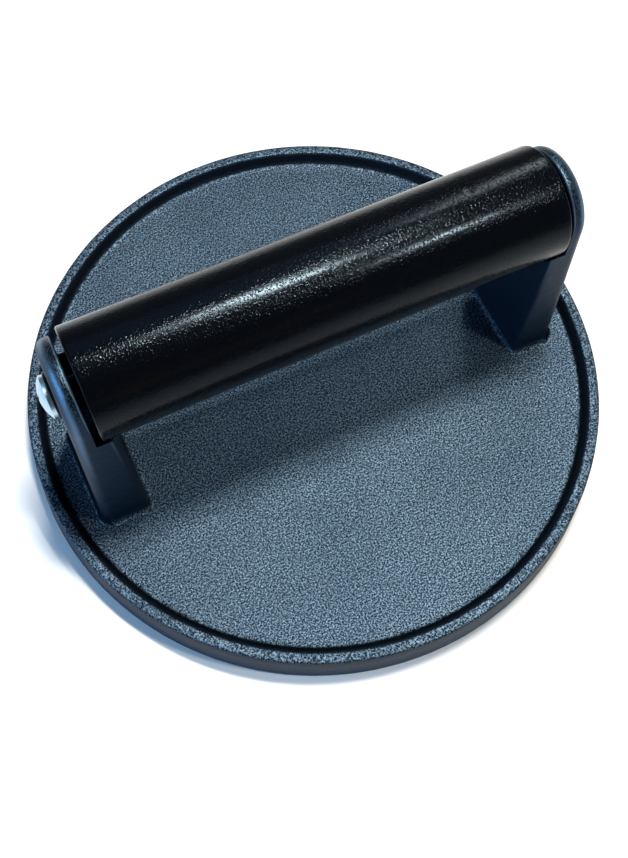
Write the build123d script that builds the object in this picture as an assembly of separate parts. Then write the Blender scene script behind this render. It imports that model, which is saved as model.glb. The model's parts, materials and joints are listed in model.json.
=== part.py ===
from build123d import *
import math
import os

# A round cast-iron burger press. A thick flat plate has a low raised rim, and two uprights
# are cast in one piece with it. A turned wooden grip lies between them on a long M6 bolt.
# The bolt's low head sits on the upright at -X, and a barrel nut with the same head closes
# it on the upright at +X. The bolt and the nut stand still, and the grip turns on the bolt.
# The origin is at the centre of the plate's underside. +Z is up, and the grip lies along X.
# All lengths are in millimetres and all angles in degrees.

# Plate
plate_diameter = 182.4  # across the foot of the outer wall
plate_thickness = 9.6  # from the pressing face to the floor inside the rim
rim_rise = 3.7  # from the floor to the top of the rim
rim_land = 3.2  # width of the rim's top
outer_wall_draft = 5.0
inner_wall_draft = 22.0
cove_radius = 3.0  # where the floor turns up into the rim
rim_edge_bevel = 0.6
pressing_edge_bevel = 1.2

# Uprights
rim_to_upright = 6.2  # floor between the cove and an upright, on the grip's line
upright_foot_thickness = 14.3
upright_foot_width = 33.6
upright_top_radius = 14.6
upright_outer_draft = 1.7
upright_inner_draft = 3.4
upright_outer_edge_radius = 3.2
upright_inner_edge_radius = 1.2
upright_foot_fillet = 2.0
eye_thickness = 4.6  # metal round the bolt, between the spot face and the grip's seat
eye_edge_bevel = 0.6

# Grip
grip_diameter = 32.0
finger_gap = 42.6  # from the floor to the underside of the grip
grip_end_play = 3.3  # how far the grip can slide along the bolt
grip_rest_gap = 1.4  # from the grip's end to the seat at +X, as the grip lies
grip_end_bevel = 0.6
grip_bore_chamfer = 0.6
seat_margin = 0.8  # the seat is this much larger in radius than the grip

# Bolt, washers and barrel nut, M6
bolt_diameter = 6.0
bolt_hole_clearance = 0.25  # radial, in the uprights, the washer and the grip
bolt_point_chamfer = 0.8
head_diameter = 12.0
head_top_diameter = 7.4  # the flat at the top of a head, inside its sloping crown
head_edge_height = 1.1
head_crown_height = 2.0
recess_depth = 1.8  # cross recess in a head
recess_width = 6.2
recess_wing = 1.2
recess_floor_width = 3.0
recess_floor_wing = 0.8
washer_diameter = 13.0
washer_thickness = 1.0
washer_edge_chamfer = 0.2
spot_margin = 0.6  # the spot face is this much larger in radius than the washer
spot_depth = 0.2  # at the top of the spot face, where the drafted face is cut least
barrel_diameter = 8.0
barrel_length = 5.8
barrel_hole_clearance = 0.2  # radial, in the upright and its washer
thread_clearance = 0.05  # radial, between the bolt and the barrel nut
thread_tail_room = 0.5  # free thread past the bolt's point

height_slack = 0.01  # an edge that is this close to a height lies at it

# Heights, from the pressing face
floor_z = plate_thickness
rim_z = floor_z + rim_rise
grip_radius = grip_diameter / 2
axis_z = floor_z + finger_gap + grip_radius

# The plate's radii
plate_radius = plate_diameter / 2
rim_radius = plate_radius - rim_z * math.tan(math.radians(outer_wall_draft))
rim_inner_radius = rim_radius - rim_land
wall_foot_radius = rim_inner_radius - rim_rise * math.tan(math.radians(inner_wall_draft))
cove_run = cove_radius * math.tan(math.radians(90 - inner_wall_draft) / 2)

# Places along the bolt
upright_foot_x = wall_foot_radius - cove_run - rim_to_upright
spot_radius = washer_diameter / 2 + spot_margin
spot_top_rise = axis_z + spot_radius - floor_z
spot_top_x = upright_foot_x - spot_top_rise * math.tan(math.radians(upright_outer_draft))
spot_x = spot_top_x - spot_depth
seat_x = spot_x - eye_thickness
grip_end_x = seat_x - grip_rest_gap
grip_length = 2 * seat_x - grip_end_play
head_x = spot_x + washer_thickness
bolt_length = 2 * head_x - thread_tail_room
head_height = head_edge_height + head_crown_height
bolt_hole_radius = bolt_diameter / 2 + bolt_hole_clearance
barrel_hole_radius = barrel_diameter / 2 + barrel_hole_clearance


def outer_x(z):
    """Where an upright's drafted outer face is at a height."""
    return upright_foot_x - (z - floor_z) * math.tan(math.radians(upright_outer_draft))


def inner_x(z):
    """Where an upright's drafted inner face is at a height."""
    foot_x = upright_foot_x - upright_foot_thickness
    return foot_x + (z - floor_z) * math.tan(math.radians(upright_inner_draft))


def bar(radius, start_x, end_x):
    """A round bar on the bolt's line between two places along X."""
    place = Location(((start_x + end_x) / 2, 0, axis_z), (0, 90, 0))
    return place * Cylinder(radius, end_x - start_x, mode=Mode.PRIVATE)


def edges_at(part, z):
    """A part's edges that lie flat at a height."""
    return part.edges().filter_by_position(Axis.Z, z - height_slack, z + height_slack)


def make_round_plate():
    """The plate turned about Z, with its drafted outer wall, its rim and the cove inside it."""
    with BuildPart() as plate:
        with BuildSketch(Plane.XZ):
            with BuildLine():
                Polyline(
                    (0, 0),
                    (plate_radius, 0),
                    (rim_radius, rim_z),
                    (rim_inner_radius, rim_z),
                    (wall_foot_radius, floor_z),
                    (0, floor_z),
                    close=True,
                )
            make_face()
        revolve(axis=Axis.Z)
        chamfer(edges_at(plate, 0), pressing_edge_bevel)
        chamfer(edges_at(plate, rim_z), rim_edge_bevel)
        fillet(edges_at(plate, floor_z), cove_radius)
    return plate.part


def make_post():
    """The upright at +X before it is joined to the plate: a tapered post with a round eye."""
    root_z = floor_z / 2
    top_z = axis_z + upright_top_radius

    # Each flank touches the round top and passes through the edge of the foot.
    foot_half = upright_foot_width / 2
    foot_drop = axis_z - floor_z
    lean = math.asin(upright_top_radius / math.hypot(foot_half, foot_drop))
    touch = math.pi / 2 + math.atan2(foot_half, foot_drop) - lean
    touch_y = upright_top_radius * math.sin(touch)
    touch_z = axis_z - upright_top_radius * math.cos(touch)
    root_half = touch_y + (foot_half - touch_y) * (touch_z - root_z) / (touch_z - floor_z)

    with BuildPart() as post:
        with BuildSketch(Plane.YZ):
            with BuildLine():
                Polyline((-touch_y, touch_z), (-root_half, root_z), (root_half, root_z), (touch_y, touch_z))
                ThreePointArc((touch_y, touch_z), (0, top_z), (-touch_y, touch_z))
            make_face()
        extrude(amount=plate_radius)
        with BuildSketch(Plane.XZ):
            with BuildLine():
                Polyline(
                    (outer_x(root_z), root_z),
                    (outer_x(top_z), top_z),
                    (inner_x(top_z), top_z),
                    (inner_x(root_z), root_z),
                    close=True,
                )
            make_face()
        extrude(amount=root_half, both=True, mode=Mode.INTERSECT)

        outer_face = post.faces().sort_by_distance((outer_x(axis_z), 0, axis_z))[0]
        outer_edges = outer_face.edges().sort_by(Axis.Z)[1:]
        fillet(outer_edges, upright_outer_edge_radius)

        # The round seat for the grip's end leaves the eye above it and a shelf under the grip.
        add(bar(grip_radius + seat_margin, 0, seat_x), mode=Mode.SUBTRACT)
        seat_face = post.faces().sort_by_distance((seat_x, 0, axis_z))[0]
        chamfer(seat_face.edges().sort_by(Axis.Z)[-1], eye_edge_bevel)
        inner_face = post.faces().sort_by_distance((inner_x(rim_z), 0, rim_z))[0]
        inner_sides = inner_face.edges().sort_by(Axis.Y)
        fillet([inner_sides[0], inner_sides[-1]], upright_inner_edge_radius)
    return post.part


def make_press_plate():
    """The whole casting, drilled and spot-faced for the bolt and for the barrel nut."""
    round_plate = make_round_plate()
    right_post = make_post()
    left_post = right_post.mirror(Plane.YZ)
    with BuildPart() as casting:
        add(round_plate)
        add(right_post)
        add(left_post)

        floor_edges = edges_at(casting, floor_z)
        foot_edges = floor_edges.filter_by(lambda edge: edge.bounding_box().size.X < plate_radius)
        fillet(foot_edges, upright_foot_fillet)

        add(bar(spot_radius, spot_x, plate_radius), mode=Mode.SUBTRACT)
        add(bar(spot_radius, -plate_radius, -spot_x), mode=Mode.SUBTRACT)
        add(bar(bolt_hole_radius, -plate_radius, 0), mode=Mode.SUBTRACT)
        add(bar(barrel_hole_radius, 0, plate_radius), mode=Mode.SUBTRACT)
    return casting.part


def make_grip():
    """The turned bar with eased ends, bored through for the bolt."""
    with BuildPart() as grip:
        add(bar(grip_radius, grip_end_x - grip_length, grip_end_x))
        chamfer(grip.edges().filter_by(GeomType.CIRCLE), grip_end_bevel)
        add(bar(bolt_hole_radius, grip_end_x - grip_length, grip_end_x), mode=Mode.SUBTRACT)
        bore = grip.faces().filter_by(GeomType.CYLINDER).sort_by(SortBy.AREA)[0]
        chamfer(bore.edges().filter_by(GeomType.CIRCLE), grip_bore_chamfer)
    return grip.part


def cross(width, wing):
    """The outline of a cross recess, in the sketch that is being drawn."""
    Rectangle(width, wing)
    Rectangle(wing, width)


def make_head():
    """A low crowned head: its bearing face is on the YZ plane and it stands out towards -X."""
    head_radius = head_diameter / 2
    with BuildPart() as head:
        with BuildSketch():
            with BuildLine():
                Polyline(
                    (0, 0),
                    (0, head_radius),
                    (-head_edge_height, head_radius),
                    (-head_height, head_top_diameter / 2),
                    (-head_height, 0),
                    close=True,
                )
            make_face()
        revolve(axis=Axis.X)
        with BuildSketch(Plane.YZ.offset(-head_height)):
            cross(recess_width, recess_wing)
        with BuildSketch(Plane.YZ.offset(recess_depth - head_height)):
            cross(recess_floor_width, recess_floor_wing)
        loft(ruled=True, mode=Mode.SUBTRACT)
    return head.part


def make_handle_bolt():
    """The long bolt, from its head on the -X upright to its point inside the barrel nut."""
    head = make_head()
    with BuildPart() as bolt:
        add(head)
        with BuildSketch(Plane.YZ):
            Circle(bolt_diameter / 2)
        extrude(amount=bolt_length)
        chamfer(bolt.faces().sort_by(Axis.X)[-1].edges(), bolt_point_chamfer)
    return Pos(-head_x, 0, axis_z) * bolt.part


def make_barrel_nut():
    """The nut, whose barrel enters the +X upright and takes the bolt's point."""
    head = make_head()
    with BuildPart() as nut:
        add(head)
        with BuildSketch(Plane.YZ):
            Circle(barrel_diameter / 2)
            Circle(bolt_diameter / 2 + thread_clearance, mode=Mode.SUBTRACT)
        extrude(amount=barrel_length)
    return Location((head_x, 0, axis_z), (0, 0, 180)) * nut.part


def make_washer(hole_radius):
    """A flat washer that lies on the +X spot face, with its outer edge eased."""
    with BuildPart() as washer:
        add(bar(washer_diameter / 2, spot_x, head_x))
        chamfer(washer.faces().sort_by(Axis.X)[-1].edges(), washer_edge_chamfer)
        add(bar(hole_radius, spot_x, head_x), mode=Mode.SUBTRACT)
    return washer.part


pieces = {
    "press_plate": make_press_plate(),
    "grip": make_grip(),
    "handle_bolt": make_handle_bolt(),
    "head_washer": make_washer(bolt_hole_radius).mirror(Plane.YZ),
    "barrel_nut": make_barrel_nut(),
    "nut_washer": make_washer(barrel_hole_radius),
}

os.makedirs("parts", exist_ok=True)
for name, piece in pieces.items():
    export_step(piece, f"parts/{name}.step")
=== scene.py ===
# A cast-iron burger press with a black turned grip, dressed for the camera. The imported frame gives
# each piece its place. Lengths in the code are millimetres, and Blender's own units are metres.

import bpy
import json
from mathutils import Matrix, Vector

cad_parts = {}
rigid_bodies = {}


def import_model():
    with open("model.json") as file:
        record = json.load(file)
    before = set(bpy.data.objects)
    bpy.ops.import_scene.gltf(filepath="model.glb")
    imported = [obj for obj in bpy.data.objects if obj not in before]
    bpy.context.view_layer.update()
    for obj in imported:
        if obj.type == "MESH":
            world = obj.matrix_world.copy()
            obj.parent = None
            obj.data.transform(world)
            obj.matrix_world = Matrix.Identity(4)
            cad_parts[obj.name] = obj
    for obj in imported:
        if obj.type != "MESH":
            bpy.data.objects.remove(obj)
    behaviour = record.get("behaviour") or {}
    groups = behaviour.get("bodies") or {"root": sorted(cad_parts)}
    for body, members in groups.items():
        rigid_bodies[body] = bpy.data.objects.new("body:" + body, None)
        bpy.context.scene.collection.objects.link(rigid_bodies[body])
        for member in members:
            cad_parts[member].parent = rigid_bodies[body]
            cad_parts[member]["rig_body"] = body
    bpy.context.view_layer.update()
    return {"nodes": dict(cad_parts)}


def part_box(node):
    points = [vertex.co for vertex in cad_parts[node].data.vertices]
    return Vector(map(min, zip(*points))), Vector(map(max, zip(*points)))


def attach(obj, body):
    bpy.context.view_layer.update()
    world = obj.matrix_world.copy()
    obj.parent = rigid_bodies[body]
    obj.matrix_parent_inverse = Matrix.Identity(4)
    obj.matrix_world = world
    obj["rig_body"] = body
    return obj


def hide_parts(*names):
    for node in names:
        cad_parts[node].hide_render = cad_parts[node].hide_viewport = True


bl_info = {
    "name": "Burger Press",
    "version": (1, 0, 0),
    "blender": (4, 5, 0),
    "location": "3D View > Sidebar > Burger Press",
    "description": "Builds a cast-iron burger press with a turned wooden grip on a long bolt",
    "category": "Add Mesh",
}

import json
import math
from types import SimpleNamespace

import bmesh
import bpy
import numpy as np
from mathutils import Matrix, Vector

MM = 0.001
FULL_TURN = 2 * math.pi
MERGE_DISTANCE = 0.001 * MM
SHARP_ANGLE = math.radians(30)  # an edge that turns by more than this is shaded sharp

# Facets round each turned shape, and rows along an upright's outline
PLATE_SEGMENTS = 420
SEAT_SEGMENTS = 256
HOLE_SEGMENTS = 192
GRIP_SEGMENTS = 144
FASTENER_SEGMENTS = 96
BOLT_SEGMENTS = 64
FLOOR_SEGMENTS = 96
THREAD_SEGMENTS = 32
THREAD_SIDES = 6
FLANK_ROWS = 58
TOP_ROWS = 66

# The relief and the knocks fall in the same places on each run
RELIEF_SEED = 3.0
DENT_SEED = 5.0
DENTS_PER_SQUARE_METRE = 900.0

# The camera's place, the point that it looks at and its roll in degrees give the photograph's angle
CAMERA_PLACE = Vector((-68.64, -131.82, 320.72))
CAMERA_AIM = Vector((-10.97, -22.13, 30.0))
CAMERA_ROLL = 2.8

# Each softbox: its name, place, aim, width and height in millimetres, its watts and the tint that it has
SOFTBOXES = (
    ("sky_overhead", (150, 640, 880), (0, 0, 20), 650, 450, 0.75, "sky"),
    ("window", (107, 74, 720), (0, 0, 60), 150, 46, 5.6, "daylight"),
    ("window_right", (285, -240, 710), (0, 0, 60), 60, 26, 1.9, "daylight"),
    ("back_right", (330, 400, 540), (0, 0, 60), 70, 300, 1.0, "daylight"),
    ("sky_left", (-600, -60, 360), (0, 0, 30), 600, 400, 3.2, "sky"),
)

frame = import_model()


def box_mm(node):
    """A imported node's lowest and highest corners, in millimetres."""
    low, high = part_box(node)
    return low / MM, high / MM


PLATE_HIGH = box_mm("press_plate")[1]
GRIP_LOW, GRIP_HIGH = box_mm("grip")
BOLT_LOW, BOLT_HIGH = box_mm("handle_bolt")
WASHER_LOW, WASHER_HIGH = box_mm("nut_washer")
NUT_LOW, NUT_HIGH = box_mm("barrel_nut")

# The bolt's line, and the places along it on the +X side
AXIS_Z = (GRIP_LOW.z + GRIP_HIGH.z) / 2
GRIP_RADIUS = (GRIP_HIGH.z - GRIP_LOW.z) / 2
HEAD_RADIUS = (BOLT_HIGH.z - BOLT_LOW.z) / 2
WASHER_RADIUS = (WASHER_HIGH.z - WASHER_LOW.z) / 2
SPOT_X = WASHER_LOW.x
HEAD_X = WASHER_HIGH.x
HEAD_HEIGHT = NUT_HIGH.x - HEAD_X
POST_TOP_RADIUS = PLATE_HIGH.z - AXIS_Z


def length(name, description, millimetres):
    """A size that a user can set, given in millimetres."""
    return bpy.props.FloatProperty(
        name=name, description=description, default=millimetres * MM, min=0, precision=4, unit="LENGTH"
    )


def slope(name, description, degrees):
    """An angle that a user can set, given in degrees."""
    return bpy.props.FloatProperty(
        name=name, description=description, default=math.radians(degrees), subtype="ANGLE",
        unit="ROTATION",
    )


def linear(hex_colour):
    """An sRGB hex colour as linear red, green, blue and a full alpha."""
    shares = [int(hex_colour[i : i + 2], 16) / 255 for i in (1, 3, 5)]
    return [s / 12.92 if s <= 0.04045 else ((s + 0.055) / 1.055) ** 2.4 for s in shares] + [1.0]


def colour(name, description, hex_colour):
    """A colour that a user can set, given as an sRGB hex value."""
    return bpy.props.FloatVectorProperty(
        name=name, description=description, default=linear(hex_colour), subtype="COLOR", size=4,
        min=0, max=1,
    )


class PressPlateSizes(bpy.types.PropertyGroup):
    """Sizes of the casting: the round plate, its rim and the two uprights."""

    thickness: length("Thickness", "From the pressing face to the floor inside the rim", 9.6)
    rim_rise: length("Rim Rise", "From the floor to the top of the rim", 3.7)
    rim_land: length("Rim Land", "Width of the rim's top", 3.2)
    outer_draft: slope("Outer Draft", "Lean of the plate's outer wall", 5.0)
    inner_draft: slope("Inner Draft", "Lean of the wall inside the rim", 22.0)
    cove: length("Cove", "Radius where the floor turns up into the rim", 3.0)
    rim_edge: length("Rim Edge", "Radius of the rim's two edges", 0.8)
    pressing_edge: length("Pressing Edge", "Radius of the edge round the pressing face", 1.2)
    rim_to_upright: length("Rim to Upright", "Floor between the cove and an upright", 6.2)
    foot_thickness: length("Foot Thickness", "Upright's thickness where it meets the floor", 14.3)
    foot_width: length("Foot Width", "Upright's width where it meets the floor", 33.6)
    upright_outer_draft: slope("Upright Outer Draft", "Lean of an upright's outer face", 1.7)
    upright_inner_draft: slope("Upright Inner Draft", "Lean of an upright's inner face", 3.4)
    upright_outer_edge: length("Upright Outer Edge", "Radius of the outer face's edges", 3.2)
    upright_inner_edge: length("Upright Inner Edge", "Radius of the inner face's edges", 1.2)
    foot_fillet: length("Foot Fillet", "Radius where an upright runs into the floor", 2.0)
    eye_thickness: length("Eye Thickness", "Metal between the spot face and the grip's seat", 4.6)
    eye_edge: length("Eye Edge", "Radius of the eye's edge on the grip's side", 0.8)
    seat_margin: length("Seat Margin", "How much larger than the grip its seat is in radius", 0.8)
    spot_margin: length("Spot Margin", "How much larger than the washer its spot face is in radius", 0.6)
    relief_depth: length("Relief Depth", "Depth of the sand mould's unevenness", 0.14)
    relief_size: length("Relief Size", "Width of the sand mould's unevenness", 5.0)
    iron: colour("Iron", "Seasoned iron", "#5e768c")
    iron_light: colour("Rubbed Iron", "Iron in patches where the seasoning is thin", "#7f99af")
    iron_dark: colour("Dark Iron", "Iron between the grains", "#0c1824")
    # Painted shade: steep walls get this darker, bluer colour
    iron_wall_shade: colour("Oiled Iron", "Iron on steep walls, where oil has gathered", "#13283c")
    # Painted shade: the blackest colour, given to the hollow round the floor
    iron_hollow_shade: colour("Black Iron", "Iron in the hollow round the floor, under burnt oil", "#0a141e")
    # Painted highlight: a lighter blue on the uprights' upper edges, in place of a glint
    iron_edge_highlight: colour("Worn Iron", "Iron rubbed bright on the uprights' edges", "#6f91ad")


class GripSizes(bpy.types.PropertyGroup):
    """Sizes of the turned wooden grip."""

    end_edge: length("End Edge", "Radius of the edge at each end", 0.6)
    bore_edge: length("Bore Edge", "Chamfer at the mouths of the bore", 0.6)
    bore_clearance: length("Bore Clearance", "Room round the bolt, in radius", 0.25)
    dent_radius: length("Dent Radius", "Half the width of a knock in the lacquer", 1.1)
    dent_depth: length("Dent Depth", "Depth of a knock in the lacquer", 0.22)
    lacquer: colour("Lacquer", "Black lacquer", "#040508")
    lacquer_gloss: colour("Lacquer Gloss", "Tint of the lacquer's reflections", "#cdeaff")
    wood: colour("Wood", "Wood that shows through thin lacquer", "#100d0c")


class FastenerSizes(bpy.types.PropertyGroup):
    """Sizes of the bolt, the barrel nut and the two washers, M6."""

    shank: length("Shank", "Diameter of the bolt's shank", 6.0)
    thread_pitch: length("Thread Pitch", "Distance from one thread to the next", 1.0)
    thread_depth: length("Thread Depth", "From the thread's crest to its root", 0.6)
    thread_length: length("Thread Length", "Threaded length at the bolt's end", 18.0)
    point: length("Point", "Chamfer at the bolt's end", 0.8)
    head_rim: length("Head Rim", "Height of the straight side of a head", 1.1)
    recess_depth: length("Recess Depth", "Depth of the cross recess", 1.8)
    recess_width: length("Recess Width", "Cross recess, from tip to tip", 6.2)
    recess_wing: length("Recess Wing", "Width of each wing of the recess", 1.2)
    recess_floor_width: length("Recess Floor Width", "Cross at the floor, from tip to tip", 3.0)
    recess_floor_wing: length("Recess Floor Wing", "Width of each wing at the floor", 0.8)
    barrel: length("Barrel", "Diameter of the nut's barrel", 8.0)
    barrel_clearance: length("Barrel Clearance", "Room round the barrel, in radius", 0.2)
    bolt_clearance: length("Bolt Clearance", "Room round the bolt in its hole, in radius", 0.25)
    thread_clearance: length("Thread Clearance", "Room between the bolt and the nut, in radius", 0.05)
    washer_edge: length("Washer Edge", "Radius of a washer's edges", 0.2)
    zinc: colour("Zinc", "Zinc plate, passivated blue", "#b2ccd8")
    blackened: colour("Blackened Steel", "Oil-blackened steel", "#2a2f34")
    # Painted shade: a near-black colour for the shank, so that it reads as shadow in the gap beside the
    # grip
    grease: colour("Grease", "Old grease on the shank", "#08090b")


class StageSizes(bpy.types.PropertyGroup):
    """The floor, the camera and the colours of the lights."""

    floor_radius: length("Floor Radius", "From the press to the backdrop", 2200.0)
    backdrop_height: length("Backdrop Height", "Height of the backdrop", 1800.0)
    backdrop_curve: length("Backdrop Curve", "Radius between the floor and the backdrop", 700.0)
    lens: bpy.props.FloatProperty(
        name="Lens", description="Focal length in millimetres", default=45.3, min=1
    )
    room_light: bpy.props.FloatProperty(
        name="Room Light", description="Strength of the faint light from all round", default=0.06, min=0
    )
    room: colour("Room", "Tint of the faint light from all round", "#dfe9f2")
    floor: colour("Floor", "Pale studio floor", "#f4f5f5")
    daylight: colour("Daylight", "Tint of the softboxes that stand for windows", "#fffaf0")
    sky: colour("Sky", "Tint of the softboxes that stand for the sky", "#90c4f6")


def sizes_of(group):
    """A property group's lengths in millimetres, and its angles and colours as they are."""
    found = {}
    for key, prop in group.bl_rna.properties.items():
        if prop.type != "FLOAT":
            continue
        value = getattr(group, key)
        if prop.is_array:
            value = tuple(value)
        elif prop.unit == "LENGTH":
            value = value / MM
        found[key] = value
    return SimpleNamespace(**found)


# Paths and turned shapes


def rounded_path(corners, radii, arc_step, run_step, closed=False):
    """The points of a path through corners, each rounded by an arc, with its runs and arcs cut into
    even steps."""
    corners = [np.array(corner, float) for corner in corners]
    count = len(corners)
    points = []
    for i, (corner, radius) in enumerate(zip(corners, radii)):
        if radius <= 0 or (not closed and i in (0, count - 1)):
            points.append(corner)
            continue
        back = corners[i - 1] - corner
        ahead = corners[(i + 1) % count] - corner
        back /= np.linalg.norm(back)
        ahead /= np.linalg.norm(ahead)
        half_angle = math.acos(float(np.clip(back @ ahead, -1, 1))) / 2
        middle = (back + ahead) / np.linalg.norm(back + ahead)
        centre = corner + middle * radius / math.sin(half_angle)
        start = corner + back * radius / math.tan(half_angle) - centre
        end = corner + ahead * radius / math.tan(half_angle) - centre
        turn = math.pi - 2 * half_angle
        steps = max(3, math.ceil(turn * radius / arc_step))
        for share in np.linspace(0, 1, steps + 1):
            mixed = math.sin((1 - share) * turn) * start + math.sin(share * turn) * end
            points.append(centre + mixed / math.sin(turn))
    spaced = []
    for i, point in enumerate(points):
        spaced.append(point)
        if i == len(points) - 1 and not closed:
            break
        following = points[(i + 1) % len(points)]
        pieces = max(1, round(float(np.linalg.norm(following - point)) / run_step))
        for piece in range(1, pieces):
            spaced.append(point + (following - point) * piece / pieces)
    return spaced


def turned(path, segments, closed=False):
    """A path of (radius, height) points turned about Z. An open path starts and ends on the axis."""
    on_axis = 1e-6
    points = []
    rings = []
    for radius, height in path:
        if radius < on_axis:
            rings.append([len(points)] * segments)
            points.append((0, 0, height))
            continue
        rings.append(list(range(len(points), len(points) + segments)))
        for i in range(segments):
            angle = FULL_TURN * i / segments
            points.append((radius * math.cos(angle), radius * math.sin(angle), height))
    faces = []
    pairs = list(zip(rings, rings[1:]))
    if closed:
        pairs.append((rings[-1], rings[0]))
    for lower, upper in pairs:
        for i in range(segments):
            j = (i + 1) % segments
            face = [lower[i], lower[j], upper[j], upper[i]]
            faces.append(list(dict.fromkeys(face)))
    return points, faces


def stacked(outlines):
    """Closed outlines with the same number of points, joined one above the other and capped."""
    count = len(outlines[0])
    points = [tuple(point) for outline in outlines for point in outline]
    faces = []
    for level in range(len(outlines) - 1):
        for i in range(count):
            j = (i + 1) % count
            base = level * count
            faces.append([base + i, base + j, base + count + j, base + count + i])
    faces.append(list(range(count)))
    faces.append(list(range(len(points) - count, len(points))))
    return points, faces


# Meshes and booleans


def add_object(name, data):
    """A new object in the scene, from a mesh, a lamp or a camera."""
    added = bpy.data.objects.new(name, data)
    bpy.context.scene.collection.objects.link(added)
    return added


def add_piece(name, points, faces, place=Matrix.Identity(4)):
    """A new mesh object from points in millimetres, with its place in its mesh and its faces outwards."""
    mesh = bpy.data.meshes.new(name)
    mesh.from_pydata(points, [], faces)
    mesh.transform(Matrix.Scale(MM, 4) @ place)
    shape = bmesh.new()
    shape.from_mesh(mesh)
    bmesh.ops.remove_doubles(shape, verts=shape.verts, dist=MERGE_DISTANCE)
    bmesh.ops.recalc_face_normals(shape, faces=shape.faces)
    shape.to_mesh(mesh)
    shape.free()
    shade(mesh)
    return add_object(name, mesh)


def shade(mesh):
    """Smooth shading, apart from sharp edges."""
    mesh.shade_smooth()
    mesh.set_sharp_from_angle(angle=SHARP_ANGLE)


def along_bolt(x):
    """A place on the bolt's line whose Z points along +X."""
    return Matrix.Translation((x, 0, AXIS_Z)) @ Matrix.Rotation(math.radians(90), 4, "Y")


def rod(name, radius, start_x, end_x, segments=HOLE_SEGMENTS):
    """A plain round bar on the bolt's line, used to cut with."""
    path = [(0, 0), (radius, 0), (radius, end_x - start_x), (0, end_x - start_x)]
    points, faces = turned(path, segments)
    return add_piece(name, points, faces, along_bolt(start_x))


def finished(piece):
    """Gives a piece the mesh that its modifiers make, and takes the modifiers off."""
    graph = bpy.context.evaluated_depsgraph_get()
    mesh = bpy.data.meshes.new_from_object(piece.evaluated_get(graph), depsgraph=graph)
    piece.modifiers.clear()
    piece.data = mesh
    shade(mesh)
    return piece


def combine(piece, tools, operation):
    """Joins other shapes to a piece, or cuts them from it."""
    for tool in tools:
        modifier = piece.modifiers.new(tool.name, "BOOLEAN")
        modifier.operation = operation
        modifier.solver = "MANIFOLD"
        modifier.object = tool
    finished(piece)
    for tool in tools:
        bpy.data.objects.remove(tool)
    if not piece.data.polygons:
        raise RuntimeError(f"{piece.name} came out empty")
    return piece


# Nodes and materials


def add_node(tree, kind, inputs=None, **settings):
    """Adds a node with its settings. Each input is a value, an output to link, or another node, which
    stands for its first output."""
    node = tree.nodes.new(kind)
    for name, value in settings.items():
        setattr(node, name, value)
    for key, value in (inputs or {}).items():
        if isinstance(value, bpy.types.Node):
            value = value.outputs[0]
        if isinstance(value, bpy.types.NodeSocket):
            tree.links.new(value, node.inputs[key])
        else:
            node.inputs[key].default_value = value
    return node


def new_material(name):
    """An empty material and its tree."""
    material = bpy.data.materials.new(name)
    material.use_nodes = True
    material.node_tree.nodes.clear()
    return material, material.node_tree


def surfaced(material, shader):
    """Ends a material in its shader."""
    add_node(material.node_tree, "ShaderNodeOutputMaterial", {"Surface": shader})
    return material


def object_position(tree):
    """The place on the piece in millimetres."""
    place = add_node(tree, "ShaderNodeTexCoord").outputs["Object"]
    return add_node(tree, "ShaderNodeVectorMath", {0: place, "Scale": 1 / MM}, operation="SCALE")


def per_mm(feature):
    """The scale of a pattern whose features are this wide in millimetres."""
    return 1 / feature


def hollow_shade_share(tree, at, sizes):
    """How much painted shade a place gets in the hollow round the floor: it begins at the floor and fades
    out below the rim's top.
    """
    floor_z = sizes.thickness
    rim_z = floor_z + sizes.rim_rise
    above_floor, below_rim = (
        add_node(
            tree, "ShaderNodeMapRange",
            {"Value": at.outputs["Z"], "From Min": low, "From Max": high, "To Min": start, "To Max": end},
        )
        for low, high, start, end in (
            (floor_z + 0.02, floor_z + 0.3, 0.0, 1.0),
            (rim_z - 1.2, rim_z - 0.5, 1.0, 0.0),
        )
    )
    flat_place = add_node(tree, "ShaderNodeCombineXYZ", {"X": at.outputs["X"], "Y": at.outputs["Y"]})
    from_middle = add_node(tree, "ShaderNodeVectorMath", {0: flat_place}, operation="LENGTH")
    near_rim = add_node(
        tree, "ShaderNodeMath", {0: from_middle.outputs["Value"], 1: upright_foot_x(sizes)},
        operation="GREATER_THAN",
    )
    between = add_node(tree, "ShaderNodeMath", {0: above_floor, 1: below_rim}, operation="MULTIPLY")
    return add_node(tree, "ShaderNodeMath", {0: between, 1: near_rim}, operation="MULTIPLY")


def edge_highlight_share(tree, at, facing, sizes):
    """How much painted highlight a place gets: an upright's turned edges, more towards its top."""
    highlight_from = 42.0  # height where the painted highlight begins
    just_above_rim = sizes.thickness + sizes.rim_rise + 1.0
    sideways = add_node(tree, "ShaderNodeMath", {0: facing.outputs["X"]}, operation="ABSOLUTE")
    turning = add_node(tree, "ShaderNodeMath", {0: sideways, 1: 0.5}, operation="PINGPONG")
    edge = add_node(tree, "ShaderNodeMapRange", {"Value": turning, "From Min": 0.12, "From Max": 0.42})
    towards_top = add_node(
        tree, "ShaderNodeMapRange",
        {"Value": at.outputs["Z"], "From Min": highlight_from, "From Max": AXIS_Z,
         "To Min": 0.02, "To Max": 0.5},
    )
    raised = add_node(
        tree, "ShaderNodeMath", {0: at.outputs["Z"], 1: just_above_rim}, operation="GREATER_THAN"
    )
    edge_share = add_node(tree, "ShaderNodeMath", {0: edge, 1: towards_top}, operation="MULTIPLY")
    return add_node(tree, "ShaderNodeMath", {0: edge_share, 1: raised}, operation="MULTIPLY")


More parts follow.
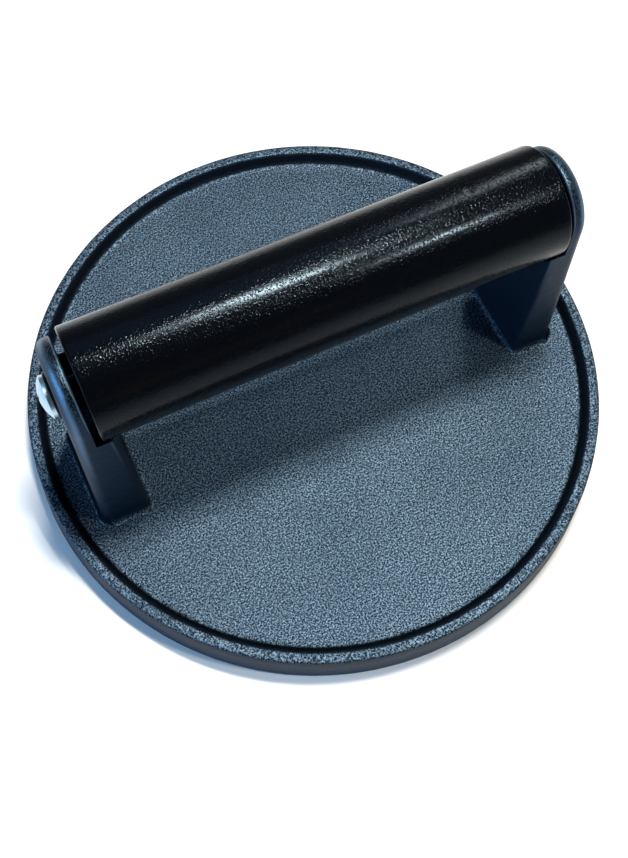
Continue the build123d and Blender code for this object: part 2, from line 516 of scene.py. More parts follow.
def sand_cast_iron(sizes):
    """Sand-cast iron with baked-on oil: a dark half-metallic grey. The mould's grain breaks every
    reflection into fine sparks. Steep walls are painted darker and bluer, as painted shade, and the
    hollow round the floor is painted blackest, as painted shade. The uprights are smoother, because
    they were dressed by hand, and their upper edges carry a painted highlight."""
    sand = 0.5  # moulding sand is about 0.3 mm across, and is drawn coarser so that it shows
    ramming = 3.5  # unevenness of the rammed mould
    patch = 26.0  # patches where the seasoning is thin
    as_cast_up_to = 14.0  # height where the dressing begins
    dressed_from = 22.0  # and where it is full
    wall_normal = 0.35  # how far up a steep wall's normal points
    flat_normal = 0.8  # and a level face's
    grain_depth = 0.24
    swell_depth = 0.5
    material, tree = new_material("Seasoned Sand-Cast Iron")
    place = object_position(tree)
    at = add_node(tree, "ShaderNodeSeparateXYZ", {0: place})
    normal = add_node(tree, "ShaderNodeTexCoord").outputs["Normal"]
    facing = add_node(tree, "ShaderNodeSeparateXYZ", {0: normal})
    grain, swell, patches = (
        add_node(
            tree, "ShaderNodeTexNoise",
            {"Vector": place, "Scale": per_mm(width), "Detail": detail, "Roughness": roughness},
        )
        for width, detail, roughness in ((sand, 3.0, 0.65), (ramming, 2.0, 0.5), (patch, 3.0, 0.5))
    )
    # level is 0 on steep walls and 1 on the flat: it places the painted shade on the walls, and sets
    # their gloss
    level = add_node(
        tree, "ShaderNodeMapRange",
        {"Value": facing.outputs["Z"], "From Min": wall_normal, "From Max": flat_normal},
    )
    undressed = add_node(
        tree, "ShaderNodeMapRange",
        {"Value": at.outputs["Z"], "From Min": as_cast_up_to, "From Max": dressed_from,
         "To Min": 1.0, "To Max": 0.45},
    )
    specks = add_node(tree, "ShaderNodeMapRange", {"Value": grain, "From Min": 0.45, "From Max": 0.67})
    speck_share = add_node(tree, "ShaderNodeMath", {0: specks, 1: undressed}, operation="MULTIPLY")

    # Each layer's share, its colour, and the mix inputs that take the colour and what is below it
    layers = (
        (patches, "iron_light", 7, 6),
        (speck_share, "iron_dark", 6, 7),
        # painted shade: steep walls darker and bluer
        (level, "iron_wall_shade", 6, 7),
        # painted shade: the hollow round the floor blackest
        (hollow_shade_share(tree, at, sizes), "iron_hollow_shade", 7, 6),
        # painted highlight on the uprights' upper edges
        (edge_highlight_share(tree, at, facing, sizes), "iron_edge_highlight", 7, 6),
    )
    base = sizes.iron
    for share, tint, tint_input, base_input in layers:
        inputs = {0: share, tint_input: getattr(sizes, tint), base_input: base}
        base = add_node(tree, "ShaderNodeMix", inputs, data_type="RGBA").outputs[2]

    # How metallic, how much rougher and how grainy the iron is on a steep wall, and on the flat
    metal, wall_rough, wall_grain = (
        add_node(tree, "ShaderNodeMapRange", {"Value": level, "To Min": on_wall, "To Max": on_flat})
        for on_wall, on_flat in ((0.45, 0.9), (0.26, 0.0), (0.5, 1.0))
    )
    grain_rough = add_node(tree, "ShaderNodeMapRange", {"Value": grain, "To Min": 0.26, "To Max": 0.38})
    rough = add_node(tree, "ShaderNodeMath", {0: grain_rough, 1: wall_rough})
    grain_share = add_node(tree, "ShaderNodeMath", {0: wall_grain, 1: undressed}, operation="MULTIPLY")
    swell_bump = add_node(
        tree, "ShaderNodeBump", {"Height": swell, "Strength": 0.4, "Distance": swell_depth * MM}
    )
    grain_bump = add_node(
        tree, "ShaderNodeBump",
        {"Height": grain, "Strength": grain_share, "Distance": grain_depth * MM, "Normal": swell_bump},
    )
    shader = add_node(
        tree, "ShaderNodeBsdfPrincipled",
        {"Base Color": base, "Metallic": metal, "Roughness": rough, "Specular IOR Level": 0.2,
         "Normal": grain_bump},
    )
    return surfaced(material, shader)


def lacquered_wood(sizes):
    """Turned hardwood under black lacquer: almost black, with a hard gloss. Dust and fine dimples in
    the lacquer break the long highlights into points, and the grain runs along the grip."""
    stretch = (0.06, 1.0, 1.0)  # the wood's grain runs along X
    pore = 1.6  # rows of pores, drawn wider than the real ones so that they show
    streak = 5.0  # where the lacquer is thin
    dimple = 0.6  # dust and dimples in the lacquer
    brushing = 9.0  # the ripple that a brush leaves
    dimple_depth = 0.07
    ripple_depth = 0.3
    material, tree = new_material("Black Lacquered Turned Wood")
    place = object_position(tree)
    along_grain = add_node(tree, "ShaderNodeMapping", {"Vector": place, "Scale": stretch})
    grain, thin, dimples, ripple = (
        add_node(
            tree, "ShaderNodeTexNoise",
            {"Vector": where, "Scale": per_mm(width), "Detail": detail, "Roughness": roughness},
        )
        for where, width, detail, roughness in (
            (along_grain, pore, 3.0, 0.6),
            (along_grain, streak, 4.0, 0.5),
            (place, dimple, 1.0, 0.5),
            (place, brushing, 1.0, 0.5),
        )
    )
    pits = add_node(tree, "ShaderNodeMapRange", {"Value": dimples, "From Min": 0.5, "From Max": 0.72})
    worn = add_node(tree, "ShaderNodeMapRange", {"Value": thin, "From Min": 0.6, "From Max": 0.9})
    inputs = {0: worn, 6: sizes.lacquer, 7: sizes.wood}
    base = add_node(tree, "ShaderNodeMix", inputs, data_type="RGBA").outputs[2]
    rough = add_node(tree, "ShaderNodeMapRange", {"Value": grain, "To Min": 0.12, "To Max": 0.21})
    ripple_bump = add_node(
        tree, "ShaderNodeBump", {"Height": ripple, "Strength": 0.15, "Distance": ripple_depth * MM}
    )
    dimple_bump = add_node(
        tree, "ShaderNodeBump",
        {"Height": pits, "Strength": 0.45, "Distance": dimple_depth * MM, "Normal": ripple_bump},
    )
    shader = add_node(
        tree, "ShaderNodeBsdfPrincipled",
        {"Base Color": base, "Roughness": rough, "IOR": 1.5, "Specular IOR Level": 0.13,
         "Specular Tint": sizes.lacquer_gloss, "Normal": dimple_bump},
    )
    return surfaced(material, shader)


def steel_finish(name, inputs, mark, smoothest, roughest, relief=0.0):
    """Steel with marks this wide in millimetres, drawn coarser than the real ones so that they show.
    They change its gloss, and have a relief where one is given."""
    material, tree = new_material(name)
    place = object_position(tree)
    marks = add_node(tree, "ShaderNodeTexNoise", {"Vector": place, "Scale": per_mm(mark), "Detail": 3.0})
    inputs["Roughness"] = add_node(
        tree, "ShaderNodeMapRange", {"Value": marks, "To Min": smoothest, "To Max": roughest}
    )
    if relief:
        inputs["Normal"] = add_node(
            tree, "ShaderNodeBump", {"Height": marks, "Strength": 0.25, "Distance": relief * MM}
        )
    return surfaced(material, add_node(tree, "ShaderNodeBsdfPrincipled", inputs))


def zinc_plate(sizes):
    """Bright zinc plate on steel: pale, with a soft sheen from the barrel that it was plated in."""
    inputs = {"Base Color": sizes.zinc, "Metallic": 1.0}
    return steel_finish(
        "Zinc Plated Steel", inputs, mark=0.8, smoothest=0.24, roughest=0.42, relief=0.05
    )


def blackened_steel(sizes):
    """Oil-blackened steel: dark grey and satin, with faint marks from stamping."""
    inputs = {"Base Color": sizes.blackened, "Metallic": 1.0}
    return steel_finish("Oil Blackened Steel", inputs, mark=1.2, smoothest=0.35, roughest=0.55)


def shaded_shank_steel(sizes):
    """Steel painted almost black and dull as painted shade, so that the shank in the gap beside the grip
    reads as shadow.
    """
    inputs = {"Base Color": sizes.grease, "Specular IOR Level": 0.2}
    return steel_finish("Greased Steel", inputs, mark=2.0, smoothest=0.6, roughest=0.9)


def studio_floor(tint):
    """Matt white board, as under a product photograph."""
    material, tree = new_material("Matt White Board")
    inputs = {"Base Color": tint, "Roughness": 0.9, "Specular IOR Level": 0.1}
    shader = add_node(tree, "ShaderNodeBsdfPrincipled", inputs)
    return surfaced(material, shader)


# Geometry node trees


def new_shape_tree(name, sizes):
    """A geometry node tree and its inputs: a geometry and named numbers."""
    tree = bpy.data.node_groups.new(name, "GeometryNodeTree")
    tree.interface.new_socket(name="Geometry", in_out="INPUT", socket_type="NodeSocketGeometry")
    for size in sizes:
        tree.interface.new_socket(name=size, in_out="INPUT", socket_type="NodeSocketFloat")
    tree.interface.new_socket(name="Geometry", in_out="OUTPUT", socket_type="NodeSocketGeometry")
    return tree, add_node(tree, "NodeGroupInput").outputs


def close_tree(tree, geometry, material):
    """Ends a tree with real geometry in one material."""
    realized = add_node(tree, "GeometryNodeRealizeInstances", {0: geometry})
    painted = add_node(tree, "GeometryNodeSetMaterial", {"Geometry": realized, "Material": material})
    add_node(tree, "NodeGroupOutput", {0: painted})


def apply_tree(piece, tree, values):
    """Runs a tree on a piece with its inputs set, and keeps the result as a plain mesh."""
    modifier = piece.modifiers.new(tree.name, "NODES")
    modifier.node_group = tree
    for item in tree.interface.items_tree:
        if item.in_out == "INPUT" and item.name in values:
            modifier[item.identifier] = float(values[item.name])
    return finished(piece)


def sunk_by(tree, geometry, depth):
    """Moves every point inwards along its normal by a depth."""
    normal = add_node(tree, "GeometryNodeInputNormal")
    inwards = add_node(tree, "ShaderNodeMath", {0: depth, 1: -1.0}, operation="MULTIPLY")
    offset = add_node(tree, "ShaderNodeVectorMath", {0: normal, "Scale": inwards}, operation="SCALE")
    return add_node(tree, "GeometryNodeSetPosition", {"Geometry": geometry, "Offset": offset})


def relief_tree(material):
    """The unevenness that a sand mould leaves, sunk into the surface where it is as cast."""
    tree, given = new_shape_tree("Sand Mould Relief", ["Depth", "Size", "Seed"])
    scale = add_node(tree, "ShaderNodeMath", {0: 1.0, 1: given["Size"]}, operation="DIVIDE")
    noise = add_node(
        tree, "ShaderNodeTexNoise", {"W": given["Seed"], "Scale": scale, "Detail": 2.0},
        noise_dimensions="4D",
    )
    as_cast = add_node(tree, "GeometryNodeInputNamedAttribute", {"Name": "as_cast"}, data_type="FLOAT")
    share = add_node(tree, "ShaderNodeMath", {0: noise, 1: as_cast}, operation="MULTIPLY")
    depth = add_node(tree, "ShaderNodeMath", {0: share, 1: given["Depth"]}, operation="MULTIPLY")
    close_tree(tree, sunk_by(tree, given["Geometry"], depth), material)
    return tree


def dent_tree(material):
    """Small knocks strewn over a lacquered piece, each a shallow round dent."""
    tree, given = new_shape_tree("Lacquer Dents", ["Radius", "Depth", "Density", "Seed"])
    strewn = add_node(
        tree, "GeometryNodeDistributePointsOnFaces",
        {"Mesh": given["Geometry"], "Density": given["Density"], "Seed": given["Seed"]},
    )
    nearest = add_node(
        tree, "GeometryNodeProximity", {0: strewn.outputs["Points"]}, target_element="POINTS"
    )
    depth = add_node(
        tree, "ShaderNodeMapRange",
        {"Value": nearest.outputs["Distance"], "From Max": given["Radius"],
         "To Min": given["Depth"], "To Max": 0.0},
        interpolation_type="SMOOTHSTEP",
    )
    close_tree(tree, sunk_by(tree, given["Geometry"], depth), material)
    return tree


def thread_tree(material):
    """A ridge wound round the bolt's end, from its pitch, its crest and its root."""
    tree, given = new_shape_tree("Bolt Thread", ["Pitch", "Root", "Depth", "Length", "Start", "Height"])
    turns = add_node(tree, "ShaderNodeMath", {0: given["Length"], 1: given["Pitch"]}, operation="DIVIDE")
    helix = add_node(
        tree, "GeometryNodeCurveSpiral",
        {"Resolution": THREAD_SEGMENTS, "Rotations": turns, "Start Radius": given["Root"],
         "End Radius": given["Root"], "Height": given["Length"]},
    )
    ridge = add_node(
        tree, "GeometryNodeCurvePrimitiveCircle", {"Resolution": THREAD_SIDES, "Radius": given["Depth"]}
    )
    wound = add_node(
        tree, "GeometryNodeCurveToMesh", {"Curve": helix, "Profile Curve": ridge, "Fill Caps": True}
    )
    place = add_node(tree, "ShaderNodeCombineXYZ", {"X": given["Start"], "Z": given["Height"]})
    laid = add_node(
        tree, "GeometryNodeTransform",
        {"Geometry": wound, "Translation": place, "Rotation": (0.0, math.radians(90), 0.0)},
    )
    whole = add_node(tree, "GeometryNodeJoinGeometry")
    tree.links.new(laid.outputs[0], whole.inputs[0])
    tree.links.new(given["Geometry"], whole.inputs[0])
    close_tree(tree, whole, material)
    return tree


# The casting


def wall_radii(sizes):
    """The plate's radius at its foot, at both edges of the rim's top and where the inner wall meets the
    floor, before its edges are rounded."""
    rim_z = sizes.thickness + sizes.rim_rise
    foot = PLATE_HIGH.x + sizes.pressing_edge * math.sin(sizes.outer_draft)
    rim = foot - rim_z * math.tan(sizes.outer_draft)
    rim_inner = rim - sizes.rim_land
    return foot, rim, rim_inner, rim_inner - sizes.rim_rise * math.tan(sizes.inner_draft)


def plate_path(sizes):
    """Half of the plate's section, from the middle of its underside to the middle of its floor."""
    floor_z = sizes.thickness
    rim_z = floor_z + sizes.rim_rise
    foot, rim, rim_inner, wall_foot = wall_radii(sizes)
    corners = [(0, 0), (foot, 0), (rim, rim_z), (rim_inner, rim_z), (wall_foot, floor_z), (0, floor_z)]
    radii = [0, sizes.pressing_edge, sizes.rim_edge, sizes.rim_edge, sizes.cove, 0]
    return rounded_path(corners, radii, arc_step=0.3, run_step=1.4)


def upright_foot_x(sizes):
    """Where the +X upright's outer face meets the floor."""
    wall_foot = wall_radii(sizes)[-1]
    cove_run = sizes.cove * math.tan((math.pi / 2 - sizes.inner_draft) / 2)
    return wall_foot - cove_run - sizes.rim_to_upright


def outer_x(z, sizes):
    """The +X upright's outer face at a height."""
    return upright_foot_x(sizes) - (z - sizes.thickness) * math.tan(sizes.upright_outer_draft)


def inner_x(z, sizes):
    """The +X upright's inner face at a height."""
    foot = upright_foot_x(sizes) - sizes.foot_thickness
    return foot + (z - sizes.thickness) * math.tan(sizes.upright_inner_draft)


def flank(sizes):
    """Where an upright's straight flank touches its round top: the angle, and the direction outwards."""
    foot_half = sizes.foot_width / 2
    drop = AXIS_Z - sizes.thickness
    lean = math.asin(POST_TOP_RADIUS / math.hypot(foot_half, drop))
    touch = math.pi / 2 + math.atan2(foot_half, drop) - lean
    return touch, math.sin(touch), -math.cos(touch)


def flank_y(z, sizes):
    """Half an upright's width at a height on its straight flanks."""
    _, across, up = flank(sizes)
    return (POST_TOP_RADIUS - (z - AXIS_Z) * up) / across


def upright_rows(sizes):
    """Stations round an upright's outline, from one foot over the top to the other. Each has the point
    that the outline is round, and the direction outwards."""
    touch, across, up = flank(sizes)
    root_z = sizes.thickness / 2
    run = (AXIS_Z + POST_TOP_RADIUS * up - root_z) / across
    rows = []
    for back in np.linspace(run, 0, FLANK_ROWS):
        rows.append(((back * up, AXIS_Z - back * across), (across, up)))
    for angle in np.linspace(touch, FULL_TURN - touch, TOP_ROWS)[1:-1]:
        rows.append(((0, AXIS_Z), (math.sin(angle), -math.cos(angle))))
    for back in np.linspace(0, run, FLANK_ROWS):
        rows.append(((-back * up, AXIS_Z - back * across), (-across, up)))
    return rows


def upright_profile(sizes):
    """Across an upright's edge, from the middle of its outer face to the middle of its inner one:
    how far in from the outline, and how far from the outer or the inner face."""
    outer = sizes.upright_outer_edge
    inner = sizes.upright_inner_edge
    face_points, arc_points, flank_points, small_arc_points = 11, 9, 9, 6
    steps = []
    for depth in np.linspace(POST_TOP_RADIUS, outer, face_points)[:-1]:
        steps.append((depth, "outer", 0.0))
    for angle in np.linspace(math.pi / 2, 0, arc_points):
        steps.append((outer * (1 - math.cos(angle)), "outer", outer * (1 - math.sin(angle))))
    for share in np.linspace(0, 1, flank_points)[1:-1]:
        steps.append((0.0, "flank", share))
    for angle in np.linspace(0, math.pi / 2, small_arc_points):
        steps.append((inner * (1 - math.cos(angle)), "inner", inner * (1 - math.sin(angle))))
    for depth in np.linspace(inner, POST_TOP_RADIUS, face_points + 1)[1:]:
        steps.append((depth, "inner", 0.0))
    return steps


def make_upright(sizes, side):
    """One upright before its seat is cut: a tapered post with a round top and eased edges."""
    rows = upright_rows(sizes)
    profile = upright_profile(sizes)
    points = []
    for (spine_y, spine_z), (across, up) in rows:
        for depth, face, amount in profile:
            y = spine_y + (POST_TOP_RADIUS - depth) * across
            z = spine_z + (POST_TOP_RADIUS - depth) * up
            outside = outer_x(z, sizes)
            inside = inner_x(z, sizes)
            if face == "outer":
                x = outside - amount
            elif face == "inner":
                x = inside + amount
            else:
                start = outside - sizes.upright_outer_edge
                x = start + (inside + sizes.upright_inner_edge - start) * amount
            points.append((side * x, y, z))
    width = len(profile)
    count = len(rows)
    faces = []
    for row in range(count - 1):
        for step in range(width - 1):
            a = row * width + step
            faces.append([a, a + 1, a + width + 1, a + width])
    for row in range(FLANK_ROWS - 1):
        mirrored = count - 1 - row
        for step in (0, width - 1):
            faces.append([row * width + step, (row + 1) * width + step,
                          (mirrored - 1) * width + step, mirrored * width + step])
    last = (count - 1) * width
    faces.append(list(range(width)) + list(range(last + width - 1, last - 1, -1)))
    return add_piece("upright", points, faces)


def make_foot_fillet(sizes, side):
    """The hollow where an upright runs into the floor, as a flared skirt round its foot."""
    floor_z = sizes.thickness
    radius = sizes.foot_fillet
    tuck = 0.01  # the skirt's top ends this far inside the upright
    sunk = -1.0  # the skirt starts below the floor
    lowest = 0.02  # its flare there is what it would be at this height
    first_angle = 0.15  # the arc's flat start is left out, because it would graze the floor
    rows = 9
    corner_points = 10
    outlines = []
    rises = [radius * (1 - math.cos(angle)) for angle in np.linspace(first_angle, math.pi / 2, rows)]
    for rise in [sunk, *rises]:
        height = max(rise, lowest)
        flare = radius - math.sqrt(max(radius**2 - (radius - height) ** 2, 0)) - tuck
        z = floor_z + rise
        outline = []
        corners = [(1, 1, "outer"), (-1, 1, "inner"), (-1, -1, "inner"), (1, -1, "outer")]
        for number, (out, left, face) in enumerate(corners):
            edge = sizes.upright_outer_edge if face == "outer" else sizes.upright_inner_edge
            face_x = outer_x(z, sizes) if face == "outer" else inner_x(z, sizes)
            centre_x = face_x - out * edge
            centre_y = left * (flank_y(z, sizes) - edge)
            reach = edge + flare
            for angle in np.linspace(number * math.pi / 2, (number + 1) * math.pi / 2, corner_points):
                x = centre_x + reach * math.cos(angle)
                outline.append((side * x, centre_y + reach * math.sin(angle), z))
        outlines.append(outline)
    points, faces = stacked(outlines)
    return add_piece("foot_fillet", points, faces)


def make_eye_lip(sizes, seat_x, side):
    """A cutter that rounds the eye's top edge on the grip's side, and fades out down its flanks."""
    overlap = 1.0  # how far the cutter stands out past the metal
    lowest = math.radians(4)  # the cutter ends this far above the bolt's level
    fade = math.radians(30)  # the edge grows to its full radius over this angle
    stations = 90
    arc_points = 7
    sections = []
    for angle in np.linspace(lowest, math.pi - lowest, stations):
        nearness = min(angle, math.pi - angle) / fade
        edge = sizes.eye_edge * min(1.0, nearness) ** 0.5
        inside = POST_TOP_RADIUS - edge
        outline = [(seat_x - overlap, inside)]
        for turn in np.linspace(0, math.pi / 2, arc_points):
            outline.append((seat_x + edge * (1 - math.cos(turn)), inside + edge * math.sin(turn)))
        outline.append((seat_x + edge, POST_TOP_RADIUS + overlap))
        outline.append((seat_x - overlap, POST_TOP_RADIUS + overlap))
        section = []
        for x, radius in outline:
            section.append((side * x, radius * math.cos(angle), AXIS_Z + radius * math.sin(angle)))
        sections.append(section)
    points, faces = stacked(sections)
    return add_piece("eye_lip", points, faces)


def mark_as_cast(piece, seat_x, sizes):
    """Stores how rough each point is: the pressing face and the washers' seats are machined and plain,
    and the rest is as cast."""
    machined_radius = WASHER_RADIUS + sizes.spot_margin + 0.3
    machined_from_x = seat_x - 0.5
    machined_below_z = 0.1  # the pressing face is at 0
    mesh = piece.data
    places = np.empty(len(mesh.vertices) * 3, np.float32)
    mesh.vertices.foreach_get("co", places)
    places = places.reshape(-1, 3) / MM
    from_bolt = np.hypot(places[:, 1], places[:, 2] - AXIS_Z)
    eye = (from_bolt < machined_radius) & (np.abs(places[:, 0]) > machined_from_x)
    share = np.where(eye | (places[:, 2] < machined_below_z), 0.0, 1.0)
    attribute = mesh.attributes.new("as_cast", "FLOAT", "POINT")
    attribute.data.foreach_set("value", share.astype(np.float32))


def make_casting(sizes, fastener, material):
    """The round plate with both uprights, cut for the grip, the washers, the bolt and the nut."""
    points, faces = turned(plate_path(sizes), PLATE_SEGMENTS)
    casting = add_piece("cast_press_plate", points, faces)
    parts = []
    for side in (1, -1):
        parts.append(make_upright(sizes, side))
        parts.append(make_foot_fillet(sizes, side))
    combine(casting, parts, "UNION")

    seat_x = SPOT_X - sizes.eye_thickness
    seat_radius = GRIP_RADIUS + sizes.seat_margin
    spot_radius = WASHER_RADIUS + sizes.spot_margin
    bolt_hole = fastener.shank / 2 + fastener.bolt_clearance
    barrel_hole = fastener.barrel / 2 + fastener.barrel_clearance
    past = PLATE_HIGH.x
    cutters = [
        rod("seat", seat_radius, -seat_x, seat_x, SEAT_SEGMENTS),
        rod("spot_right", spot_radius, SPOT_X, past),
        rod("spot_left", spot_radius, -past, -SPOT_X),
        rod("bolt_hole", bolt_hole, -past, 0),
        rod("barrel_hole", barrel_hole, 0, past),
        make_eye_lip(sizes, seat_x, 1),
        make_eye_lip(sizes, seat_x, -1),
    ]
    combine(casting, cutters, "DIFFERENCE")
    mark_as_cast(casting, seat_x, sizes)
    values = {
        "Depth": sizes.relief_depth * MM,
        "Size": sizes.relief_size * MM,
        "Seed": RELIEF_SEED,
    }
    return apply_tree(casting, relief_tree(material), values)


# The grip


def make_grip(sizes, fastener, material):
    """The turned bar with eased ends, bored through, with knocks in its lacquer."""
    bore = fastener.shank / 2 + sizes.bore_clearance
    chamfer = sizes.bore_edge
    long = GRIP_HIGH.x - GRIP_LOW.x
    corners = [
        (bore + chamfer, 0), (GRIP_RADIUS, 0), (GRIP_RADIUS, long), (bore + chamfer, long),
        (bore, long - chamfer), (bore, chamfer),
    ]
    radii = [0, sizes.end_edge, sizes.end_edge, 0, 0, 0]
    path = rounded_path(corners, radii, arc_step=0.2, run_step=0.8, closed=True)
    points, faces = turned(path, GRIP_SEGMENTS, closed=True)
    grip = add_piece("turned_grip", points, faces, along_bolt(GRIP_LOW.x))
    values = {
        "Radius": sizes.dent_radius * MM,
        "Depth": sizes.dent_depth * MM,
        "Density": DENTS_PER_SQUARE_METRE,
        "Seed": DENT_SEED,
    }
    return apply_tree(grip, dent_tree(material), values)


# The bolt, the barrel nut and the washers


def head_path(sizes):
    """Half of a head's section, from its bearing face to the middle of its dome."""
    rim = sizes.head_rim
    dome = HEAD_HEIGHT - rim
    arc_radius = (HEAD_RADIUS**2 + dome**2) / (2 * dome)
    widest = math.asin(HEAD_RADIUS / arc_radius)
    dome_points = 20
    path = [(HEAD_RADIUS, 0.0), (HEAD_RADIUS, rim)]
    for angle in np.linspace(widest, 0, dome_points)[1:]:
        height = rim + dome - arc_radius * (1 - math.cos(angle))
        path.append((arc_radius * math.sin(angle), height))
    return path


def cut_recess(piece, sizes, outwards):
    """Cuts the tapered cross recess into a head. Outwards is 1 for the head at +X, else -1."""
    head_top = HEAD_X + HEAD_HEIGHT
    above = 0.5
    slant = (sizes.recess_width - sizes.recess_floor_width) / sizes.recess_depth
    wing_slant = (sizes.recess_wing - sizes.recess_floor_wing) / sizes.recess_depth
    outlines = []
    for depth in (sizes.recess_depth, -above):
        rise = sizes.recess_depth - depth
        tip = (sizes.recess_floor_width + rise * slant) / 2
        wing = (sizes.recess_floor_wing + rise * wing_slant) / 2
        outline = []
        for quarter in range(4):
            turn = Matrix.Rotation(math.radians(90 * quarter), 2)
            for corner in ((tip, -wing), (tip, wing), (wing, wing)):
                y, z = turn @ Vector(corner)
                outline.append((outwards * (head_top - depth), y, AXIS_Z + z))
        outlines.append(outline)
    points, faces = stacked(outlines)
    return combine(piece, [add_piece("recess", points, faces)], "DIFFERENCE")


def shade_shank(bolt, greased):
    """Gives the bolt's faces inside the uprights a second material, painted almost black as painted
    shade.
    """
    bolt.data.materials.append(greased)
    shaded_index = len(bolt.data.materials) - 1
    for face in bolt.data.polygons:
        if face.center.x > -SPOT_X * MM:
            face.material_index = shaded_index


def make_bolt(sizes, material, greased):
    """The long bolt: a domed head with a cross recess, a plain shank and a threaded end."""
    shank = sizes.shank / 2
    root = shank - sizes.thread_depth
    point = sizes.point
    pitch = sizes.thread_pitch
    end = HEAD_HEIGHT + BOLT_HIGH.x + HEAD_X
    thread_start = end - sizes.thread_length
    path = [(0.0, 0.0)]
    for radius, height in reversed(head_path(sizes)[:-1]):
        path.append((radius, HEAD_HEIGHT - height))
    corners = [
        (shank, HEAD_HEIGHT), (shank, thread_start), (root, thread_start + pitch), (root, end - point),
        (root - point / 2, end), (0, end),
    ]
    path += rounded_path(corners, [0] * len(corners), arc_step=1.0, run_step=12.0)
    points, faces = turned(path, BOLT_SEGMENTS)
    bolt = add_piece("handle_bolt_m6", points, faces, along_bolt(BOLT_LOW.x))
    cut_recess(bolt, sizes, -1)
    plain_start = 1.5 * pitch
    values = {
        "Pitch": pitch * MM,
        "Root": root * MM,
        "Depth": sizes.thread_depth * MM,
        "Length": (sizes.thread_length - 2 * plain_start) * MM,
        "Start": (BOLT_LOW.x + thread_start + plain_start) * MM,
        "Height": AXIS_Z * MM,
    }
    apply_tree(bolt, thread_tree(material), values)
    shade_shank(bolt, greased)
    return bolt


def make_barrel_nut(sizes, material):
    """The nut: the same domed head on a barrel that is bored for the bolt."""
    bore = sizes.shank / 2 + sizes.thread_clearance
    barrel = sizes.barrel / 2
    long = HEAD_X - NUT_LOW.x
    path = [(0.0, long), (bore, long), (bore, 0.0), (barrel, 0.0), (barrel, long)]
    path += [(radius, long + height) for radius, height in head_path(sizes)]
    points, faces = turned(path, FASTENER_SEGMENTS)
    nut = add_piece("barrel_nut_m6", points, faces, along_bolt(NUT_LOW.x))
    cut_recess(nut, sizes, 1)
    nut.data.materials.append(material)
    return nut


def make_washer(name, hole_radius, start_x, sizes, material):
    """A flat washer with eased edges, on one upright's spot face."""
    thick = HEAD_X - SPOT_X
    corners = [(hole_radius, 0), (WASHER_RADIUS, 0), (WASHER_RADIUS, thick), (hole_radius, thick)]
    radii = [sizes.washer_edge] * 4
    path = rounded_path(corners, radii, arc_step=0.1, run_step=2.0, closed=True)
    points, faces = turned(path, FASTENER_SEGMENTS, closed=True)
    washer = add_piece(name, points, faces, along_bolt(start_x))
    washer.data.materials.append(material)
    return washer


# The stage


def add_softbox(name, place, aim, width, height, watts, tint):
    """A rectangular lamp at a place in millimetres, turned towards a point."""
    lamp = bpy.data.lights.new(name, "AREA")
    lamp.shape = "RECTANGLE"
    lamp.size = width * MM
    lamp.size_y = height * MM
    lamp.energy = watts
    lamp.color = tint[:3]
    holder = add_object(name, lamp)
    holder.location = Vector(place) * MM
    holder.rotation_euler = (Vector(aim) - Vector(place)).to_track_quat("-Z", "Y").to_euler()


def add_camera(lens):
    """The camera at the photograph's angle."""
    camera = bpy.data.cameras.new("camera")
    camera.lens = lens
    camera.sensor_width = 36.0
    holder = add_object("camera", camera)
    forwards = CAMERA_AIM - CAMERA_PLACE
    level = forwards.to_track_quat("-Z", "Y").to_matrix().to_4x4()
    rolled = level @ Matrix.Rotation(math.radians(CAMERA_ROLL), 4, "Z")
    holder.matrix_world = Matrix.Translation(CAMERA_PLACE * MM) @ rolled
    bpy.context.scene.camera = holder


def add_floor(sizes):
    """A round floor that curves up into a backdrop far behind the press."""
    radius = sizes.floor_radius
    corners = [(0, 0), (radius, 0), (radius, sizes.backdrop_height)]
    path = rounded_path(corners, [0, sizes.backdrop_curve, 0], arc_step=40, run_step=200)
    points, faces = turned(path, FLOOR_SEGMENTS)
    floor = add_piece("studio_floor", points, faces)
    floor.data.materials.append(studio_floor(sizes.floor))


def dim_room(brightness, tint):
    """Even faint light from all round, so that nothing goes fully black."""
    world = bpy.data.worlds.new("Studio Room")
    world.use_nodes = True
    bpy.context.scene.world = world
    background = world.node_tree.nodes["Background"]
    background.inputs["Color"].default_value = tint
    background.inputs["Strength"].default_value = brightness


# Operators


def settle(piece, node):
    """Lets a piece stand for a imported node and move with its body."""
    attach(piece, frame["nodes"][node]["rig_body"])
    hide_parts(node)


class PRESS_OT_add_press_plate(bpy.types.Operator):
    """Add the iron casting: the round plate, its rim and the two uprights"""

    bl_idname = "press.add_press_plate"
    bl_label = "Press Plate"

    def execute(self, context):
        sizes = sizes_of(context.scene.press_plate)
        fastener = sizes_of(context.scene.press_fasteners)
        settle(make_casting(sizes, fastener, sand_cast_iron(sizes)), "press_plate")
        return {"FINISHED"}


class PRESS_OT_add_grip(bpy.types.Operator):
    """Add the turned wooden grip that spins on the bolt"""

    bl_idname = "press.add_grip"
    bl_label = "Grip"

    def execute(self, context):
        sizes = sizes_of(context.scene.press_grip)
        fastener = sizes_of(context.scene.press_fasteners)
        settle(make_grip(sizes, fastener, lacquered_wood(sizes)), "grip")
        return {"FINISHED"}


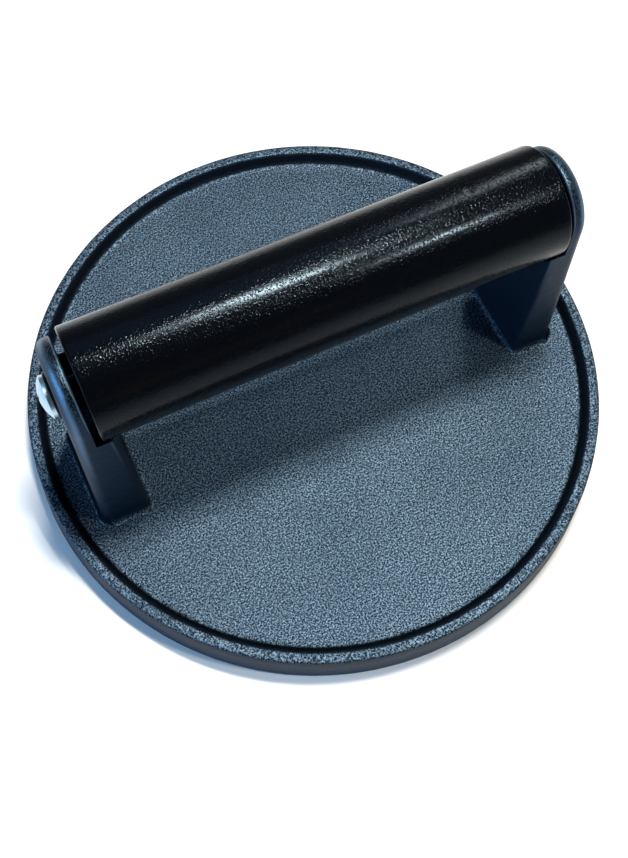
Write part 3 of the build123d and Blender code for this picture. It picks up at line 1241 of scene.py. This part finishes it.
class PRESS_OT_add_fasteners(bpy.types.Operator):
    """Add the long bolt, the barrel nut and a washer under each head"""

    bl_idname = "press.add_fasteners"
    bl_label = "Bolt, Nut and Washers"

    def execute(self, context):
        sizes = sizes_of(context.scene.press_fasteners)
        zinc = zinc_plate(sizes)
        dark = blackened_steel(sizes)
        bolt_hole = sizes.shank / 2 + sizes.bolt_clearance
        barrel_hole = sizes.barrel / 2 + sizes.barrel_clearance
        settle(make_bolt(sizes, zinc, shaded_shank_steel(sizes)), "handle_bolt")
        settle(make_barrel_nut(sizes, zinc), "barrel_nut")
        washers = (("head_washer", bolt_hole, -HEAD_X), ("nut_washer", barrel_hole, SPOT_X))
        for node, hole, start_x in washers:
            settle(make_washer(f"{node}_m6", hole, start_x, sizes, dark), node)
        return {"FINISHED"}


class PRESS_OT_add_stage(bpy.types.Operator):
    """Add the floor, the softboxes and the camera"""

    bl_idname = "press.add_stage"
    bl_label = "Stage"

    def execute(self, context):
        stage = sizes_of(context.scene.press_stage)
        add_floor(stage)
        dim_room(stage.room_light, stage.room)
        context.scene.view_settings.view_transform = "Standard"
        for name, place, aim, width, height, watts, tint in SOFTBOXES:
            add_softbox(name, place, aim, width, height, watts, getattr(stage, tint))
        add_camera(stage.lens)
        return {"FINISHED"}


class PRESS_PT_panel(bpy.types.Panel):
    """The pieces of the press, one button each"""

    bl_label = "Burger Press"
    bl_space_type = "VIEW_3D"
    bl_region_type = "UI"
    bl_category = "Burger Press"

    def draw(self, context):
        for operator in OPERATORS:
            self.layout.operator(operator.bl_idname)


OPERATORS = (PRESS_OT_add_press_plate, PRESS_OT_add_grip, PRESS_OT_add_fasteners, PRESS_OT_add_stage)
GROUPS = {
    "press_plate": PressPlateSizes,
    "press_grip": GripSizes,
    "press_fasteners": FastenerSizes,
    "press_stage": StageSizes,
}


def register():
    for group in GROUPS.values():
        bpy.utils.register_class(group)
    for name, group in GROUPS.items():
        setattr(bpy.types.Scene, name, bpy.props.PointerProperty(type=group))
    for kind in (*OPERATORS, PRESS_PT_panel):
        bpy.utils.register_class(kind)


def unregister():
    for kind in (PRESS_PT_panel, *reversed(OPERATORS)):
        bpy.utils.unregister_class(kind)
    for name, group in GROUPS.items():
        delattr(bpy.types.Scene, name)
        bpy.utils.unregister_class(group)


def main():
    register()
    bpy.ops.press.add_press_plate()
    bpy.ops.press.add_grip()
    bpy.ops.press.add_fasteners()
    bpy.ops.press.add_stage()


if __name__ == "__main__":
    main()
